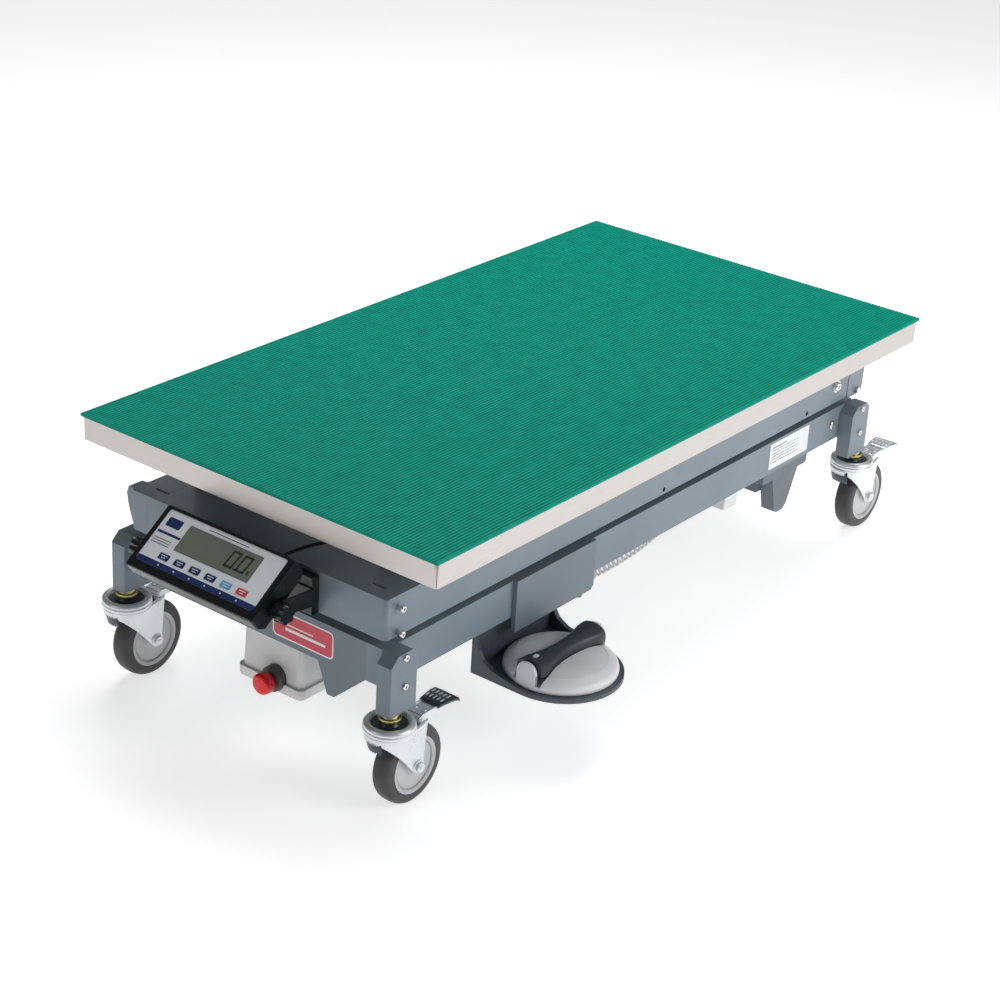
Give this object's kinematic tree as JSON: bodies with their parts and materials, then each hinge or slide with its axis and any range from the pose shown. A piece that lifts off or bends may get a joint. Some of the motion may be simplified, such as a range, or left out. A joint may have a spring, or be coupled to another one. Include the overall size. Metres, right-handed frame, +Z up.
{
  "type": "mobile lifting veterinary table with platform scale",
  "caption": "Electric scissor-lift examination table on braked swivel castors, with a ribbed mat, weighing platform, tilting indicator, foot switch and stop button.",
  "frame": {"origin": "centre of the footprint box at floor level, table fully lowered", "axes": "+X along the table away from the weight indicator, +Y across the table away from the foot switch, +Z up"},
  "size_m": [1.5235, 0.771, 0.432],
  "materials": {
    "frame_paint": "satin slate grey paint",
    "leg_paint": "satin slate grey paint",
    "cover_paint": "satin slate grey paint",
    "arm_paint": "dark grey paint",
    "stainless": "brushed stainless sheet",
    "green_rubber": "ribbed matt rubber",
    "zinc": "bright zinc plate",
    "yellow_zinc": "yellow passivated zinc",
    "steel_screw": "polished steel",
    "shaft_steel": "turned steel",
    "cell_metal": "machined",
    "control_grey": "light grey moulding",
    "stop_red": "signal red",
    "black_plastic": "black moulding",
    "dark_plastic": "dark grey moulding",
    "cradle_grey": "slate grey moulding",
    "switch_white": "white moulding",
    "switch_dark": "dark slate moulding",
    "pod_grey": "slate grey moulding",
    "cord_grey": "light grey flexible cord",
    "cable_black": "black cable sheath",
    "wheel_hub": "grey moulding",
    "wheel_tyre": "grey non-marking rubber",
    "bracket_black": "black powder coat",
    "pedal_metal": "dark slate pedal"
  },
  "bodies": {
    "base": {"base_rail_near": "frame_paint", "base_rail_far": "frame_paint", "base_beam_front": "frame_paint", "base_beam_rear": "frame_paint", "base_beam_mid": "frame_paint", "leg_posts": "leg_paint", "base_screws": "steel_screw", "stem_nuts": "yellow_zinc", "front_cover": "cover_paint", "side_cover": "cover_paint", "control_shell": "control_grey", "control_base": "control_grey", "stop_collar": "dark_plastic", "foot_cradle": "cradle_grey", "foot_switch_body": "switch_white", "foot_switch_cord": "cord_grey", "junction_box": "control_grey", "side_pod": "pod_grey", "actuator_body": "dark_plastic"},
    "arm_pair_a": {"arm_a_near": "arm_paint", "arm_a_far": "arm_paint", "crank_shaft": "arm_paint", "centre_shaft": "shaft_steel"},
    "arm_pair_b": {"arm_b_near": "arm_paint", "arm_b_far": "arm_paint"},
    "platform": {"upper_shaft": "shaft_steel", "top_rail_near": "frame_paint", "top_rail_far": "frame_paint", "top_beam_front": "frame_paint", "top_beam_rear": "frame_paint", "frame_screws": "steel_screw", "load_cells": "cell_metal", "tray": "stainless", "mat": "green_rubber", "indicator_bracket": "bracket_black", "indicator_stirrup": "bracket_black", "indicator_cable": "cable_black"},
    "drive_rod": {"actuator_rod": "shaft_steel"},
    "roller_pair_upper": {"roller_upper": "shaft_steel"},
    "roller_pair_lower": {"roller_lower": "shaft_steel"},
    "stop_head": {"stop_button": "stop_red"},
    "foot_bar": {"foot_switch_bar": "switch_dark"},
    "indicator": {"indicator_housing": "black_plastic", "tilt_knobs": "black_plastic"},
    "castor_1_swivel": {"castor_1_fork": "zinc"},
    "castor_1_wheel": {"castor_1_hub": "wheel_hub", "castor_1_tyre": "wheel_tyre"},
    "castor_1_brake": {"castor_1_pedal": "pedal_metal"},
    "castor_2_swivel": {"castor_2_fork": "zinc"},
    "castor_2_wheel": {"castor_2_hub": "wheel_hub", "castor_2_tyre": "wheel_tyre"},
    "castor_2_brake": {"castor_2_pedal": "pedal_metal"},
    "castor_3_swivel": {"castor_3_fork": "zinc"},
    "castor_3_wheel": {"castor_3_hub": "wheel_hub", "castor_3_tyre": "wheel_tyre"},
    "castor_3_brake": {"castor_3_pedal": "pedal_metal"},
    "castor_4_swivel": {"castor_4_fork": "zinc"},
    "castor_4_wheel": {"castor_4_hub": "wheel_hub", "castor_4_tyre": "wheel_tyre"},
    "castor_4_brake": {"castor_4_pedal": "pedal_metal"}
  },
  "joints": [
    {"name": "lift", "type": "hinge", "parent": "base", "child": "arm_pair_a", "pos_m": [0.57, 0.036, 0.227], "axis": [0, 1, 0], "range_deg": [0, 38]},
    {"name": "scissor_cross", "type": "hinge", "parent": "arm_pair_a", "child": "arm_pair_b", "pos_m": [0.05132, 0.036, 0.264], "axis": [0, 1, 0], "range_deg": [-76, 0]},
    {"name": "platform_level", "type": "hinge", "parent": "arm_pair_b", "child": "platform", "pos_m": [0.57, 0.036, 0.301], "axis": [0, 1, 0], "range_deg": [0, 38]},
    {"name": "drive_rod_pin", "type": "hinge", "parent": "arm_pair_a", "child": "drive_rod", "pos_m": [0.59605, 0.036, 0.15136], "axis": [0, 1, 0], "range_deg": [-38, 0]},
    {"name": "roller_upper_spin", "type": "hinge", "parent": "arm_pair_a", "child": "roller_pair_upper", "pos_m": [-0.46736, 0.036, 0.301], "axis": [0, 1, 0], "continuous": true},
    {"name": "roller_lower_spin", "type": "hinge", "parent": "arm_pair_b", "child": "roller_pair_lower", "pos_m": [-0.46736, 0.036, 0.227], "axis": [0, 1, 0], "continuous": true},
    {"name": "stop_press", "type": "slide", "parent": "base", "child": "stop_head", "axis": [1, 0, 0], "range_m": [0, 0.004], "stiffness_N_per_m": 900},
    {"name": "foot_rock", "type": "hinge", "parent": "base", "child": "foot_bar", "pos_m": [-0.303, -0.289, 0.141], "axis": [0, 1, 0], "range_deg": [-4, 4], "stiffness_Nm_per_rad": 12},
    {"name": "indicator_tilt", "type": "hinge", "parent": "platform", "child": "indicator", "pos_m": [-0.716, 0.036, 0.307], "axis": [0, 1, 0], "range_deg": [-16, 30]},
    {"name": "castor_1_turn", "type": "hinge", "parent": "base", "child": "castor_1_swivel", "pos_m": [-0.6285, -0.2315, 0.15], "axis": [0, 0, 1], "continuous": true},
    {"name": "castor_1_roll", "type": "hinge", "parent": "castor_1_swivel", "child": "castor_1_wheel", "pos_m": [-0.5865, -0.2315, 0.0625], "axis": [0, 1, 0], "continuous": true},
    {"name": "castor_1_brake_press", "type": "hinge", "parent": "castor_1_swivel", "child": "castor_1_brake", "pos_m": [-0.5785, -0.2315, 0.133], "axis": [0, 1, 0], "range_deg": [0, 10]},
    {"name": "castor_2_turn", "type": "hinge", "parent": "base", "child": "castor_2_swivel", "pos_m": [0.6355, -0.2315, 0.15], "axis": [0, 0, 1], "continuous": true},
    {"name": "castor_2_roll", "type": "hinge", "parent": "castor_2_swivel", "child": "castor_2_wheel", "pos_m": [0.6775, -0.2315, 0.0625], "axis": [0, 1, 0], "continuous": true},
    {"name": "castor_2_brake_press", "type": "hinge", "parent": "castor_2_swivel", "child": "castor_2_brake", "pos_m": [0.6855, -0.2315, 0.133], "axis": [0, 1, 0], "range_deg": [0, 10]},
    {"name": "castor_3_turn", "type": "hinge", "parent": "base", "child": "castor_3_swivel", "pos_m": [0.6355, 0.3035, 0.15], "axis": [0, 0, 1], "continuous": true},
    {"name": "castor_3_roll", "type": "hinge", "parent": "castor_3_swivel", "child": "castor_3_wheel", "pos_m": [0.6775, 0.3035, 0.0625], "axis": [0, 1, 0], "continuous": true},
    {"name": "castor_3_brake_press", "type": "hinge", "parent": "castor_3_swivel", "child": "castor_3_brake", "pos_m": [0.6855, 0.3035, 0.133], "axis": [0, 1, 0], "range_deg": [0, 10]},
    {"name": "castor_4_turn", "type": "hinge", "parent": "base", "child": "castor_4_swivel", "pos_m": [-0.6285, 0.3035, 0.15], "axis": [0, 0, 1], "continuous": true},
    {"name": "castor_4_roll", "type": "hinge", "parent": "castor_4_swivel", "child": "castor_4_wheel", "pos_m": [-0.5865, 0.3035, 0.0625], "axis": [0, 1, 0], "continuous": true},
    {"name": "castor_4_brake_press", "type": "hinge", "parent": "castor_4_swivel", "child": "castor_4_brake", "pos_m": [-0.5785, 0.3035, 0.133], "axis": [0, 1, 0], "range_deg": [0, 10]}
  ],
  "couplings": [
    {"joint": "scissor_cross", "follows": "lift", "ratio": -2},
    {"joint": "platform_level", "follows": "lift", "ratio": 1},
    {"joint": "drive_rod_pin", "follows": "lift", "ratio": -1}
  ]
}
